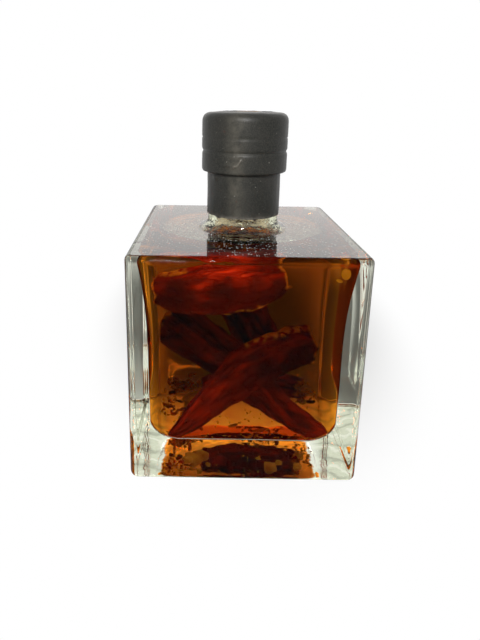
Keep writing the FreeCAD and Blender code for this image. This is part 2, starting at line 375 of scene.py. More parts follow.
# ---- materials
class Nodes:
    """A material's or a world's node tree, with short calls to add and join nodes."""

    def __init__(self, owner, output="ShaderNodeOutputMaterial"):
        self.owner = owner
        owner.use_nodes = True
        self.tree = owner.node_tree
        self.tree.nodes.clear()
        self.out = self.add(output)

    def put(self, value, socket):
        """Gives a socket a value, or joins it to an output or to a node's first output."""
        if isinstance(value, bpy.types.Node):
            value = value.outputs[0]
        if isinstance(value, bpy.types.NodeSocket):
            self.tree.links.new(value, socket)
        elif socket.type == "RGBA":
            socket.default_value = (*value, 1)
        else:
            socket.default_value = value

    def add(self, kind, **values):
        """A new node. The values are its properties or its inputs, with _ for a space."""
        node = self.tree.nodes.new(kind)
        for key, value in values.items():
            if hasattr(node, key):
                setattr(node, key, value)
            else:
                self.put(value, node.inputs[key.replace("_", " ")])
        return node

    def fill(self, node, *values):
        """Fills a node's first inputs in their order and gives its first output."""
        for value, socket in zip(values, node.inputs):
            self.put(value, socket)
        return node.outputs[0]

    def math(self, operation, *values):
        return self.fill(self.add("ShaderNodeMath", operation=operation), *values)

    def times(self, *factors):
        result = factors[0]
        for factor in factors[1:]:
            result = self.math("MULTIPLY", result, factor)
        return result

    def blend(self, factor, first, second):
        """Two shaders mixed."""
        return self.fill(self.add("ShaderNodeMixShader"), factor, first, second)

    def mixed(self, factor, first, second):
        """Two colours mixed."""
        node = self.add("ShaderNodeMix", data_type="RGBA")
        for value, index in ((factor, 0), (first, 6), (second, 7)):
            self.put(value, node.inputs[index])
        return node.outputs[2]

    def ramp(self, factor, stops):
        node = self.add("ShaderNodeValToRGB", Fac=factor)
        elements = node.color_ramp.elements
        elements.remove(elements[-1])
        for i, (position, colour) in enumerate(stops):
            element = elements[0] if i == 0 else elements.new(position)
            element.position = position
            element.color = (*colour, 1)
        return node

    def mapping(self, low, high, factor, to_low=0.0, to_high=1.0, how="LINEAR"):
        node = self.add("ShaderNodeMapRange", interpolation_type=how, Value=factor, From_Min=low,
                        From_Max=high, To_Min=to_low, To_Max=to_high)
        return node.outputs["Result"]

    def place(self, stretch=None):
        """Where on the object this is, in metres."""
        coords = self.add("ShaderNodeTexCoord").outputs["Object"]
        return self.add("ShaderNodeMapping", Scale=stretch, Vector=coords) if stretch else coords

    def axis(self, name):
        return self.add("ShaderNodeSeparateXYZ", Vector=self.place()).outputs[name]

    def attribute(self, name):
        return self.add("ShaderNodeAttribute", attribute_name=name).outputs["Fac"]

    def noise(self, scale, detail=4.0, rough=0.6, vector=None):
        where = self.place() if vector is None else vector
        return self.add("ShaderNodeTexNoise", Scale=scale, Detail=detail, Roughness=rough,
                        Vector=where).outputs["Fac"]

    def refraction(self, colour, ior):
        return self.add("ShaderNodeBsdfRefraction", Color=colour, Roughness=0.0, IOR=ior)

    def glossy(self, colour):
        return self.add("ShaderNodeBsdfGlossy", Color=colour, Roughness=0.0)

    def facing(self):
        return self.add("ShaderNodeLayerWeight", Blend=0.5).outputs["Facing"]

    def principled(self, colour, roughness, specular=0.0):
        return self.add("ShaderNodeBsdfPrincipled", Base_Color=colour, Roughness=roughness,
                        Specular_IOR_Level=specular)

    def bump(self, height, strength, distance, *shaders):
        """Makes the shaders see a height on the surface."""
        node = self.add("ShaderNodeBump", Strength=strength, Distance=distance, Height=height)
        for shader in shaders:
            self.put(node, shader.inputs["Normal"])

    def shown(self, surface):
        """Ends the tree with a shader and gives the material or the world."""
        self.put(surface, self.out.inputs["Surface"])
        return self.owner

    def seen_by_eye(self):
        """1 for a camera ray, or one that a mirror or glass passes on; 0 for light on a surface."""
        path = self.add("ShaderNodeLightPath").outputs
        direct = self.math("MAXIMUM", path["Is Camera Ray"], path["Is Glossy Ray"])
        return self.math("MAXIMUM", direct, path["Is Transmission Ray"])


def material(name):
    return Nodes(bpy.data.materials.new(name))


def scaled(colour, share):
    return tuple(share * c for c in colour)


CLEAR_TINT = (0.90, 0.915, 0.845)
GRAZING = 0.28  # how much of the tint is left where the glass is seen along its face, painted shade that darkens its edges
NECK_TINT = (0.70, 0.64, 0.54)
NECK_MIRROR = (0.88, 0.87, 0.78)
FOOT_MIRROR = (0.84, 0.86, 0.77)
# the unevenness of the glass: scale, depth and the height that it fades out at, in metres
FOOT_RIPPLE = (130.0, 0.00012, 0.004)
NECK_RIPPLE = (420.0, 0.00035, 1.0)
FLARE_RIPPLE = (300.0, 0.00030, 1.0)
SILT_STOPS = [(0.35, (1.0, 1.0, 1.0)), (0.52, (1.0, 0.90, 0.76)), (0.64, (0.92, 0.66, 0.45)),
              (0.78, (0.62, 0.32, 0.16))]
FLOOR_TINT = (0.99, 0.61, 0.24)  # the bits on the floor are seen through hardly any oil
OIL_TINT = (0.98, 0.59, 0.16)  # the hue changes little with depth: the surface carries most of it
OIL_IN_DEPTH = (0.60, 0.417, 0.10)


def glass_material(name, outside_ior, mirror=(1, 1, 1), tint=CLEAR_TINT, ripple=FOOT_RIPPLE,
                   dusty=False, marked=False):
    """Full refraction; outside_ior and mirror set how strongly the face mirrors what is outside."""
    m = material(name)
    # painted shade: the glass is darker where it is seen along its face
    colour = m.ramp(m.facing(), [(0.5, tint), (0.92, scaled(tint, GRAZING))])
    refraction = m.refraction(colour, GLASS_IOR)
    glossy = m.glossy(chill_marks(m, mirror) if marked else mirror)
    outside = m.add("ShaderNodeFresnel", IOR=outside_ior)
    inside = m.add("ShaderNodeFresnel", IOR=GLASS_IOR)
    backfacing = m.add("ShaderNodeNewGeometry").outputs["Backfacing"]
    share = m.add("ShaderNodeMix", Factor=backfacing, A=outside, B=inside)
    surface = m.blend(share, refraction, glossy)
    scale, depth, top = ripple
    waves = m.times(m.noise(scale, 2.0, 0.5), m.mapping(0.0, top, m.axis("Z"), 1.0, 0.0))
    m.bump(waves, 1.0, depth, refraction, glossy, outside, inside)
    return m.shown(dusted(m, surface) if dusty else surface)


def chill_marks(m, mirror):
    """Curved strokes left where hot glass met the cold mould, round the outside of the foot."""
    strokes = m.add("ShaderNodeTexWave", wave_type="BANDS", bands_direction="DIAGONAL", Scale=42.0,
                    Distortion=9.0, Detail=3.0, Detail_Scale=1.4, Vector=m.place())
    marks = m.ramp(strokes.outputs["Fac"], [
        (0.0, scaled(mirror, 0.70)), (0.2, scaled(mirror, 0.90)), (0.5, mirror), (0.86, mirror),
        (1.0, (1.0, 1.0, 0.96))])
    outward = m.math("MAXIMUM", *(m.math("ABSOLUTE", m.axis(name)) for name in "XY"))
    return m.mixed(m.mapping(0.026, 0.030, outward), (1, 1, 1), marks)


def dusted(m, surface):
    """Fine specks of dust lying on the glass, thicker in patches."""
    cells = m.add("ShaderNodeTexVoronoi", Scale=1250.0, Vector=m.place())
    chance = m.add("ShaderNodeSeparateColor", Color=cells.outputs["Color"])
    size = m.mapping(0.35, 1.0, chance, 0.0, 0.46)
    patch = m.mapping(0.35, 0.65, m.noise(55.0, 2.0, 0.5), 0.55, 1.0)
    speck = m.math("LESS_THAN", cells.outputs["Distance"], m.times(size, patch))
    return m.blend(speck, surface, m.add("ShaderNodeBsdfDiffuse", Color=(0.80, 0.77, 0.71)))


def wetted_material():
    """The glass where oil wets it: light passes on into the oil with no mirror."""
    m = material("wetted_glass")
    return m.shown(m.refraction((1, 1, 1), GLASS_IOR))


def silted_material():
    """The cavity's floor under a thin layer of fine chili silt, which light passes through."""
    m = material("silted_glass")
    return m.shown(m.refraction(m.ramp(m.noise(170.0, 5.0, 0.65), SILT_STOPS), GLASS_IOR))


def oil_material():
    """Against the glass a mirror only along its face; under the air a plain liquid."""
    m = material("chili_oil")
    above = m.mapping((BASE + 1.2) * MM, (BASE + 2.6) * MM, m.axis("Z"))
    refraction = m.refraction(m.mixed(above, FLOOR_TINT, OIL_TINT), OIL_IOR)
    under_glass = m.mapping(0.71, 0.745, m.facing())
    under_air = m.add("ShaderNodeFresnel", IOR=1.33)
    share = m.add("ShaderNodeMix", Factor=m.attribute("in_air"), A=under_glass, B=under_air)
    absorption = m.add("ShaderNodeVolumeAbsorption", Color=OIL_IN_DEPTH, Density=60.0)
    m.put(absorption, m.out.inputs["Volume"])
    return m.shown(m.blend(share, refraction, m.glossy((1, 1, 1))))


# in the order of the glass's slots
for made in (glass_material("clear_glass", 1.11),
             wetted_material(),
             glass_material("clear_glass_top", GLASS_IOR, dusty=True),
             glass_material("clear_glass_bore", 1.2, NECK_MIRROR, NECK_TINT, NECK_RIPPLE),
             glass_material("clear_glass_flare", 1.33, ripple=FLARE_RIPPLE),
             silted_material(),
             glass_material("clear_glass_foot", 1.11, FOOT_MIRROR, marked=True)):
    glass.data.materials.append(made)
oil.data.materials.append(oil_material())
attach(glass, "root")
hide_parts("glass_bottle")
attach(oil, "root")
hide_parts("oil")


# ---- what lies in the oil
def floor_height(x, y):
    """The height of the cavity's floor, its crown and the round towards the walls."""
    flat = WIDTH / 2 - WAIST_WALL - FLOOR_ROUND
    d = max(abs(x), abs(y)) - flat
    if d <= 0:
        return BASE + CROWN * max(0.0, 1 - (hypot(x, y) / flat) ** 2)
    return BASE + FLOOR_ROUND - round_side(FLOOR_ROUND, min(d, FLOOR_ROUND))


def round_side(radius, away):
    """The other side of the right triangle in a quarter circle."""
    return sqrt(max(0.0, radius ** 2 - away ** 2))


def kept_in_oil(points, margin):
    """Soft things stay inside the cavity and under the oil: points outside it are moved in."""
    p = np.array(points, float)
    reach = CORNER - margin
    for q in p:
        z = min(q[2], ROOF - margin)
        wide, deep = q[0] / (AIR_WIDE + 0.4), (q[1] - AIR_BACK) / (AIR_DEEP + 0.4)
        if wide ** 2 + deep ** 2 < 1:
            z = min(z, OIL_LEVEL - margin)
        half = cavity_half(z)
        if z > ROOF - ROOF_ROUND:
            half -= ROOF_ROUND - round_side(ROOF_ROUND, z - ROOF + ROOF_ROUND)
        if z < BASE + FLOOR_ROUND:
            drop = BASE + FLOOR_ROUND - max(z, BASE + margin)
            half -= FLOOR_ROUND - round_side(FLOOR_ROUND, drop)
        straight = half - CORNER
        ax, ay = abs(q[0]), abs(q[1])
        if ax > straight and ay > straight:
            dx, dy = ax - straight, ay - straight
            far = hypot(dx, dy)
            if far > reach:
                ax = straight + dx * reach / far
                ay = straight + dy * reach / far
        ax, ay = min(ax, half - margin), min(ay, half - margin)
        q[0], q[1] = copysign(ax, q[0]), copysign(ay, q[1])
        q[2] = max(z, floor_height(q[0], q[1]) + margin)
    return p


def smooth_path(points, steps):
    """Catmull-Rom points along the way."""
    p = [np.array(q, float) for q in points]
    p = [2 * p[0] - p[1]] + p + [2 * p[-1] - p[-2]]
    spans = len(p) - 3
    out = []
    for k in range(steps + 1):
        u = spans * k / steps
        i = min(int(u), spans - 1)
        t = u - i
        a, b, c, d = p[i:i + 4]
        out.append(0.5 * (2 * b + (c - a) * t + (2 * a - 5 * b + 4 * c - d) * t ** 2
                          + (3 * b - a - 3 * c + d) * t ** 3))
    return np.array(out)


def curve_value(stops, t):
    return float(np.interp(t, *zip(*stops)))


def noise_at(x, y, z):
    return noise.noise(Vector((x, y, z)))


def fractal(v, octaves=3):
    total, size, scale = 0.0, 1.0, 1.0
    for _ in range(octaves):
        total += size * noise.noise(v * scale)
        size *= 0.5
        scale *= 2.1
    return total


class Pile:
    """Collects points, faces and named values of many bits into one piece."""

    def __init__(self):
        self.points, self.faces, self.values = [], [], {}

    def add(self, points, faces, **values):
        start = len(self.points)
        self.points.extend(points)
        self.faces.extend([tuple(start + i for i in f) for f in faces])
        for key, numbers in values.items():
            known = self.values.setdefault(key, [])
            known.extend(np.broadcast_to(numbers, (len(points),)).tolist())

    def add_turned(self, points, faces, turn, place, **values):
        """Adds a bit made round the origin."""
        moved = np.array(points) @ np.array(turn).T + np.array(place)
        self.add([tuple(p) for p in moved], faces, **values)

    def piece(self, name, made, margin):
        piece = new_mesh(name, kept_in_oil(self.points, margin), self.faces)
        keep_values(piece, "POINT", self.values)
        piece.data.materials.append(made)
        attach(piece, "root")
        return piece


# ---- chilies
CHILI_STEPS = 110  # along a chili
CHILI_AROUND = 104  # round it
CHILI_WALL = 0.55  # thickness of its skin
FACING = np.array((0.0, -1.0, 0.0))  # a chili's flat side looks this way
SQUARENESS = 0.86  # the power that fills out its section
CUTS = (0.16, 0.10, 0.05, 0.02, 0.004)  # the rings of the inner skin at a cut end, as shares in
FRAYED = 1.5  # how far from a cut the pale edge fades
CHILI_VALUES = ("edge", "fold", "pith", "tone", "around_x", "around_y", "along")


def chili(pile, path, height, depth, seed, low_cut, high_cut, tone, under=1.0, lit=0.5, ragged=1.0,
          hems=()):
    """A dried chili: a flattened, wrinkled skin along a path, torn open at a cut end.

    height, depth and tone are (share of the length, value) pairs. under is how bright painted shade
    leaves its lower side, and lit where its painted lit side starts. hems are torn edges: first
    share, last share, side.
    """
    line = smooth_path(path, CHILI_STEPS)
    length = np.linalg.norm(np.diff(line, axis=0), axis=1).sum()
    side = 1.0 if np.cross(FACING, line[-1] - line[0])[2] >= 0 else -1.0
    shape = Vector((seed * 3.7, seed * 1.3, seed * 5.1))
    turns = full_turn(CHILI_AROUND)

    def hem_at(t, s):
        """How torn the skin is here, from 0 to 1."""
        for first, last, side_of in hems:
            if first < t < last and s * side_of > 0:
                return sin(pi * (t - first) / (last - first)) ** 0.5
        return 0.0

    def place(t, c, s, shrink):
        """A point of the skin at share t of the length, and how it folds there."""
        within = min(max(t, 0.0), 1.0)
        u = within * CHILI_STEPS
        i = min(int(u), CHILI_STEPS - 1)
        f = u - i
        tangent = line[min(CHILI_STEPS, i + 3)] - line[max(0, i - 2)]
        tangent = tangent / np.linalg.norm(tangent)
        centre = line[i] * (1 - f) + line[i + 1] * f + tangent * (t - within) * length
        out = FACING - tangent * FACING.dot(tangent)
        out = out / np.linalg.norm(out)
        up = np.cross(out, tangent) * side
        z = t * length / 9.0
        folds = fractal(Vector((c * 1.5, s * 1.5, z * 0.5)) + shape, 2)
        dents = noise.noise(Vector((c * 3.0, s * 3.0, z * 1.6)) - shape)
        wrinkles = noise.noise(Vector((c * 7, s * 7, z * 3.0)) + shape)
        swell = 1 + 0.22 * folds + 0.11 * dents + 0.035 * wrinkles
        h = max(0.05, curve_value(height, t) * swell - shrink)
        d = max(0.05, curve_value(depth, t) * swell - shrink)
        hem = hem_at(t, s)
        if s < 0 < hem:
            h += 0.9 * hem * abs(s) ** 5 * (0.4 + noise_at(z * 4.5, seed, 3.0))
        sway = up * (0.6 * noise_at(z * 1.2, seed, 0))
        wide, high = (copysign(abs(v) ** SQUARENESS, v) for v in (c, s))
        return centre + out * d * wide + up * h * high + sway, folds, dents

    def reach(a, end):
        """How far a cut end's edge is drawn out here, as a share of the length."""
        c, s = cos(a), sin(a)
        big = noise_at(c * 1.6, s * 1.6, seed + end)
        small = noise_at(c * 7, s * 7, seed - end)
        return ragged * (2.2 * big + 1.1 * small) / length

    low = [-reach(a, 1.0) if low_cut else 0.0 for a in turns]
    high = [1 + reach(a, 2.0) if high_cut else 1.0 for a in turns]
    rings = [(f, True) for f in CUTS if low_cut]
    rings += [(i / 100, False) for i in range(0 if low_cut else 1, 101)]
    rings += [(1 - f, True) for f in reversed(CUTS) if high_cut]
    points, rows = [], []
    for fraction, inner in rings:
        for k, a in enumerate(turns):
            c, s = cos(a), sin(a)
            t = low[k] + (high[k] - low[k]) * fraction
            p, folds, dents = place(t, c, s, CHILI_WALL if inner else 0.0)
            to_cut = min([1.0] + [high[k] - t] * high_cut + [t - low[k]] * low_cut)
            frayed = exp(-max(0.0, to_cut * length) / FRAYED)
            hem = hem_at(t, s) * max(0.0, abs(s) - 0.72) / 0.28
            # painted light and shade, carried in tone: lighter on the upper side, darker down to
            # under on the lower side
            rise = sin(a + 0.9 * noise_at(t * 6, seed, 0))
            light = under + (1 - under) * min(1.0, max(0.0, lit + 1.6 * rise))
            # fold: painted light on swelling folds and painted shade in dents
            points.append(p)
            rows.append((max(frayed, hem), 0.5 + 0.6 * folds + 0.35 * dents, float(inner),
                         curve_value(tone, t) * light, c * 0.5, s * 0.5, t * length / 24.0 + seed))
    n = CHILI_AROUND
    faces = tube_faces(len(rings), n)
    for first, (share, inner) in ((0, rings[0]), ((len(rings) - 1) * n, rings[-1])):
        order = range(first, first + n) if first else range(n - 1, -1, -1)
        faces += [(len(points), order[k], order[(k + 1) % n]) for k in range(n)]
        points.append(np.mean(points[first:first + n], axis=0))
        rows.append((0.0, 0.4, float(inner), curve_value(tone, share), *rows[first][4:]))
    pile.add(points, faces, **dict(zip(CHILI_VALUES, zip(*rows))))


def chilies():
    pile = Pile()
    # the bright one across the top, open and torn along its lower edge, its lower side in painted
    # shade
    chili(pile, [(-29.0, -27.3, 64.4), (-25.0, -28.0, 64.5), (-17.9, -28.3, 64.9),
                 (-10.1, -28.3, 65.4), (0.6, -28.2, 66.4), (6.9, -27.8, 67.9), (11.5, -27.0, 69.4)],
          [(0, 4.2), (0.1, 5.0), (0.25, 6.6), (0.47, 8.0), (0.72, 7.7), (0.88, 6.2), (1, 4.6)],
          [(0, 2.0), (0.3, 3.4), (0.8, 3.6), (1, 3.2)], 1.0, True, True,
          [(0, 0.32), (0.2, 0.38), (0.36, 0.72), (0.8, 0.8), (1, 0.6)], under=0.32, lit=0.12,
          ragged=0.6, hems=((0.46, 0.80, -1), (0.06, 0.34, 1)))
    # the long one in front, its tip in the left corner, its lower side in painted shade
    chili(pile, [(-25.8, -27.5, 11.2), (-17.1, -25.0, 17.3), (-8.8, -20.0, 24.8),
                 (-0.2, -13.5, 30.4), (8.9, -6.5, 33.8), (17.0, -0.5, 35.3), (24.3, 4.0, 35.9)],
          [(0, 0.3), (0.06, 2.0), (0.18, 4.3), (0.38, 6.5), (0.6, 7.7), (0.85, 8.2), (1, 7.2)],
          [(0, 0.3), (0.1, 2.2), (0.4, 4.0), (1, 4.6)], 2.0, False, True,
          [(0, 0.62), (0.2, 0.74), (0.4, 0.58), (0.7, 0.42), (1, 0.40)], under=0.55,
          hems=((0.55, 0.98, 1),))
    # the dark one behind it, its tip in the right corner, a little painted shade on its lower side
    chili(pile, [(28.6, -27.3, 13.4), (24.5, -24.5, 14.0), (19.5, -19.5, 15.0), (13.5, -14.0, 17.4),
                 (7.5, -7.5, 21.2), (-0.2, 0.0, 25.6), (-7.6, 6.0, 30.4), (-18.9, 13.0, 36.4),
                 (-28.3, 16.5, 41.8)],
          [(0, 0.6), (0.05, 2.3), (0.16, 3.9), (0.32, 4.7), (0.45, 5.6), (0.6, 7.2), (0.8, 8.8),
           (1, 9.4)],
          [(0, 0.5), (0.1, 2.2), (0.4, 3.9), (1, 4.4)], 3.0, False, True,
          [(0, 0.85), (0.3, 0.66), (0.55, 0.38), (1, 0.46)], under=0.85)
    # the darkest, upright at the back
    chili(pile, [(-1.0, 22.0, 47.5), (6.4, 21.5, 35.0), (13.5, 20.5, 26.0)],
          [(0, 8.2), (0.3, 8.6), (0.7, 7.6), (1, 4.4)], [(0, 3.8), (0.5, 4.2), (1, 2.6)],
          4.0, True, False, [(0, 0.6), (1, 0.55)], ragged=0.5)
    # one more on the floor behind them all
    chili(pile, [(24.0, 12.0, 15.2), (14.0, 14.5, 15.6), (2.0, 15.5, 15.8), (-8.0, 14.5, 15.4),
                 (-13.5, 13.0, 14.8)],
          [(0, 3.6), (0.2, 4.8), (0.6, 5.2), (1, 3.4)], [(0, 4.0), (0.4, 5.0), (1, 3.2)],
          5.0, True, False, [(0, 0.6), (1, 0.6)])
    return pile


# ---- flakes, garlic and seeds
# heaps of crushed flakes: middle x, y, spread x, y, height, how many, largest size, share of dark
HEAPS = (
    (-25.0, -25.0, 4.2, 4.2, 2.0, 18, 0.6, 0.1), (-21.5, 22.5, 7.5, 6.0, 4.2, 75, 2.1, 0.05),
    (-24.5, 0.0, 4.0, 9.0, 2.6, 42, 1.7, 0.1), (24.5, 13.0, 4.5, 9.0, 2.6, 45, 1.6, 0.1),
    (12.0, 24.0, 12.0, 4.0, 2.5, 60, 1.6, 0.1), (0.0, -24.0, 20.0, 3.5, 1.2, 34, 0.9, 0.2),
    (2.0, -8.0, 18.0, 14.0, 1.0, 24, 0.9, 0.2), (25.0, -24.0, 4.0, 4.0, 1.8, 50, 0.8, 0.25))
# larger scraps of skin: x, y, height over the floor, size, shade, yaw
SCRAPS = (
    (-3.0, -15.0, 0.7, 2.6, 0.85, 0.3), (6.0, -18.8, 0.7, 3.0, 0.95, 0.1),
    (7.5, 16.5, 0.7, 2.6, 0.9, 1.0), (27.0, 5.2, 1.6, 2.6, 0.03, -0.4),
    (-22.5, 6.0, 1.6, 2.8, 0.08, 0.9), (-26.0, 12.0, 2.0, 2.6, 0.1, 1.6),
    (-19.0, -2.0, 1.0, 2.4, 0.12, -0.5), (2.5, -25.0, 1.0, 2.2, 0.9, 0.2))
SCRAP_THICKNESS = 0.4
HEAP_REACH = 29.0  # flakes are strewn no further out than this
# garlic: x, y, size, seed of its shape
GARLIC = (
    (-17.5, 5.5, 3.8, 1.0), (-14.5, 9.0, 2.8, 2.0), (12.2, -0.8, 2.5, 3.0), (7.8, 6.2, 1.1, 4.0),
    (22.0, -2.0, 1.6, 5.0), (24.5, 8.5, 1.5, 6.0), (-19.0, 3.0, 2.0, 7.0), (15.5, 2.0, 1.2, 8.0))
# seeds against the glass: x, y, z, radius, pitch
SEEDS = ((30.0, -30.0, 71.2, 1.85, 1.35), (28.4, -28.6, 68.6, 1.1, 0.3))
LOOSE_SEEDS = 5


def spin(yaw, pitch=0.0, roll=0.0):
    turned = Matrix.Rotation(yaw, 3, "Z") @ Matrix.Rotation(pitch, 3, "X")
    return turned @ Matrix.Rotation(roll, 3, "Y")


def flake(pile, place, size, thick, turn, seed, shade):
    """A thin torn plate of skin, a little curled."""
    count = 7
    ring = []
    for a in full_turn(count):
        r = size * (0.75 + 0.55 * noise_at(cos(a) * 1.3, sin(a) * 1.3, seed))
        x, y = r * cos(a), 0.62 * r * sin(a)
        ring.append((x, y, 0.22 * size * ((x / size) ** 2 - 0.3)))
    points = [(x, y, z + thick / 2) for x, y, z in ring] + [(0, 0, thick / 2 + 0.12 * size)]
    points += [(x, y, z - thick / 2) for x, y, z in ring] + [(0, 0, -thick / 2 - 0.05 * size)]
    faces = []
    low = count + 1
    for k in range(count):
        j = (k + 1) % count
        faces += [(k, j, count), (low + j, low + k, low + count), (k, low + k, low + j, j)]
    pile.add_turned(points, faces, turn, place, shade=shade)


def flakes():
    pile = Pile()
    for x, y, wide, deep, high, count, size, dark in HEAPS:
        for _ in range(count):
            dx, dy = rng.normal(0, 0.5, 2)
            px = min(HEAP_REACH, max(-HEAP_REACH, x + wide * dx))
            py = min(HEAP_REACH, max(-HEAP_REACH, y + deep * dy))
            lift = abs(rng.normal(0, 0.45)) * high * exp(-(dx * dx + dy * dy))
            s = size * rng.uniform(0.3, 1.0)
            turn = spin(rng.uniform(0, 6.28), rng.normal(0, 0.45), rng.normal(0, 0.45))
            shade = rng.uniform(0.0, 0.25) if rng.uniform() < dark else rng.uniform(0.35, 1.0)
            flake(pile, (px, py, floor_height(px, py) + 0.5 + lift), s, rng.uniform(0.18, 0.35),
                  turn, rng.uniform(0, 90), shade)
    for px, py, up, s, shade, yaw in SCRAPS:
        turn = spin(yaw, rng.normal(0, 0.3), rng.normal(0, 0.3))
        flake(pile, (px, py, floor_height(px, py) + up), s, SCRAP_THICKNESS, turn,
              rng.uniform(0, 90), shade)
    return pile


def garlic():
    """Uneven rounded lumps, a little flattened."""
    pile = Pile()
    squeeze = np.array((1, 1, 0.7))
    for px, py, size, seed in GARLIC:
        place = np.array((px, py, floor_height(px, py) + 0.6 * size))
        bm = bmesh.new()
        bmesh.ops.create_icosphere(bm, subdivisions=3, radius=1.0)
        points = []
        for v in bm.verts:
            n = v.co.normalized()
            r = 1 + 0.32 * fractal(n * 1.3 + Vector((seed, 0, seed)))
            points.append(tuple(place + size * r * np.array(n) * squeeze))
        faces = [tuple(v.index for v in f.verts) for f in bm.faces]
        bm.free()
        pile.add(points, faces)
    return pile


def chili_seed(pile, place, radius, turn):
    """A flat round disc with a thick rim and a small notch."""
    points = []
    count, rows = 26, 7
    for r in range(1, rows):
        a = pi * r / rows
        for b in full_turn(count):
            rad = radius * sin(a) ** 0.7 * (1 - 0.16 * exp(-((b - 1.2) / 0.3) ** 2))
            dish = 0.78 + 0.22 * sin(a) ** 4
            points.append((rad * cos(b), rad * sin(b), 0.3 * radius * cos(a) * dish))
    pole = len(points)
    last = (rows - 2) * count
    points += [(0, 0, 0.2 * radius), (0, 0, -0.2 * radius)]
    faces = [(a, d, c, b) for a, b, c, d in tube_faces(rows - 1, count)]
    for k in range(count):
        j = (k + 1) % count
        faces += [(pole, k, j), (pole + 1, last + j, last + k)]
    pile.add_turned(points, faces, turn, place)


def seeds():
    pile = Pile()
    for x, y, z, radius, pitch in SEEDS:
        chili_seed(pile, (x, y, z), radius, spin(0.35, pitch, 0.1))
    for _ in range(LOOSE_SEEDS):
        px, py = rng.uniform(-24, 24), rng.uniform(-10, 24)
        chili_seed(pile, (px, py, floor_height(px, py) + 0.8), rng.uniform(0.9, 1.3),
                   spin(rng.uniform(0, 6.28), rng.normal(0, 0.3)))
    return pile


def skin_noise(m, scale, detail=3.0, rough=0.55, along=1.0):
    """Noise laid round and along a chili; along below 1 draws it out into streaks."""
    place = m.add("ShaderNodeCombineXYZ", X=m.attribute("around_x"), Y=m.attribute("around_y"),
                  Z=m.math("MULTIPLY", m.attribute("along"), along))
    return m.noise(scale, detail, rough, place)


def creases_of(m, scale, width):
    """0 in thin winding lines, 1 elsewhere."""
    away = m.math("SUBTRACT", skin_noise(m, scale, 2.0), 0.5)
    return m.mapping(0.0, width, m.math("ABSOLUTE", away))


SKIN_STOPS = [(0.0, (0.035, 0.0035, 0.004)), (0.2, (0.11, 0.009, 0.007)),
              (0.5, (0.32, 0.024, 0.014)), (0.8, (0.60, 0.042, 0.024)), (1.0, (0.85, 0.085, 0.035))]
SKIN_SPECK = (0.05, 0.007, 0.005)
TORN_LIGHT, TORN_DARK = (0.95, 0.48, 0.14), (0.60, 0.20, 0.05)
PITH = (0.58, 0.28, 0.09)
FLAKE_STOPS = [(0.0, (0.25, 0.09, 0.04)), (0.25, (0.60, 0.26, 0.09)), (0.45, (0.90, 0.52, 0.18)),
               (0.8, (0.97, 0.78, 0.36)), (1.0, (0.95, 0.38, 0.12))]
FLAKE_SPECK = (0.3, 0.09, 0.03)


def chili_material():
    """Dried chili skin: near black to bright red by piece and painted light and shade, orange where
    torn.
    """
    m = material("dried_chili")
    patches = m.mapping(0.32, 0.70, skin_noise(m, 2.6, 6.0, 0.66), 0.55, 1.18)
    painted_fold_shading = m.mapping(0.1, 0.8, m.attribute("fold"), 0.5, 1.3)
    creases = creases_of(m, 3.6, 0.05)
    fine = creases_of(m, 9.0, 0.06)
    streaks = skin_noise(m, 13.0, 4.0, 0.6, 0.28)
    # painted light and shade from tone and fold, and painted shade in the creases; patches and
    # streaks are the skin's own colour
    level = m.times(m.attribute("tone"), patches, painted_fold_shading,
                    m.mapping(0.34, 0.62, streaks, 0.62, 1.12),
                    m.mapping(0.0, 1.0, creases, 0.80, 1.0), m.mapping(0.0, 1.0, fine, 0.86, 1.0))
    specks = m.mapping(0.66, 0.74, m.noise(900.0, 3.0))
    skin = m.mixed(specks, m.ramp(level, SKIN_STOPS), SKIN_SPECK)
    torn = m.mixed(m.noise(900.0), TORN_LIGHT, TORN_DARK)
    edge = m.times(m.attribute("edge"), m.mapping(0.35, 0.62, m.noise(420.0), 0.15, 1.3))
    colour = m.mixed(m.mapping(0.25, 0.75, edge), skin, torn)
    colour = m.mixed(m.attribute("pith"), colour, PITH)
    shader = m.principled(colour, 0.42)
    m.bump(m.math("ADD", creases, streaks), 0.9, 0.0009, shader)
    return m.shown(shader)


def lit_through(m, colour, share, height, distance):
    """A soft bit that light passes through: part plain surface, part glow from behind."""
    shader = m.principled(colour, 0.5)
    m.bump(height, 0.4, distance, shader)
    return m.shown(m.blend(share, shader, m.add("ShaderNodeBsdfTranslucent", Color=colour)))


def flake_material():
    m = material("chili_flakes")
    colour = m.ramp(m.attribute("shade"), FLAKE_STOPS)
    mottled = m.mixed(m.mapping(0.55, 0.9, m.noise(1500.0)), colour, FLAKE_SPECK)
    return lit_through(m, mottled, 0.9, m.noise(2200.0), 0.0002)


def pale_material(name, low, high, scale, through):
    m = material(name)
    colour = m.mixed(m.noise(scale), low, high)
    return lit_through(m, colour, through, m.noise(scale * 2.5), 0.0003)


chilies().piece("dried_chilies", chili_material(), 0.5)
flakes().piece("chili_flakes", flake_material(), 0.3)
garlic().piece("garlic_bits",
               pale_material("garlic", (0.95, 0.88, 0.36), (1.0, 0.98, 0.66), 350.0, 0.35), 0.3)
seeds().piece("chili_seeds",
              pale_material("chili_seed", (0.90, 0.80, 0.30), (0.95, 0.92, 0.50), 900.0, 0.65), 0.3)


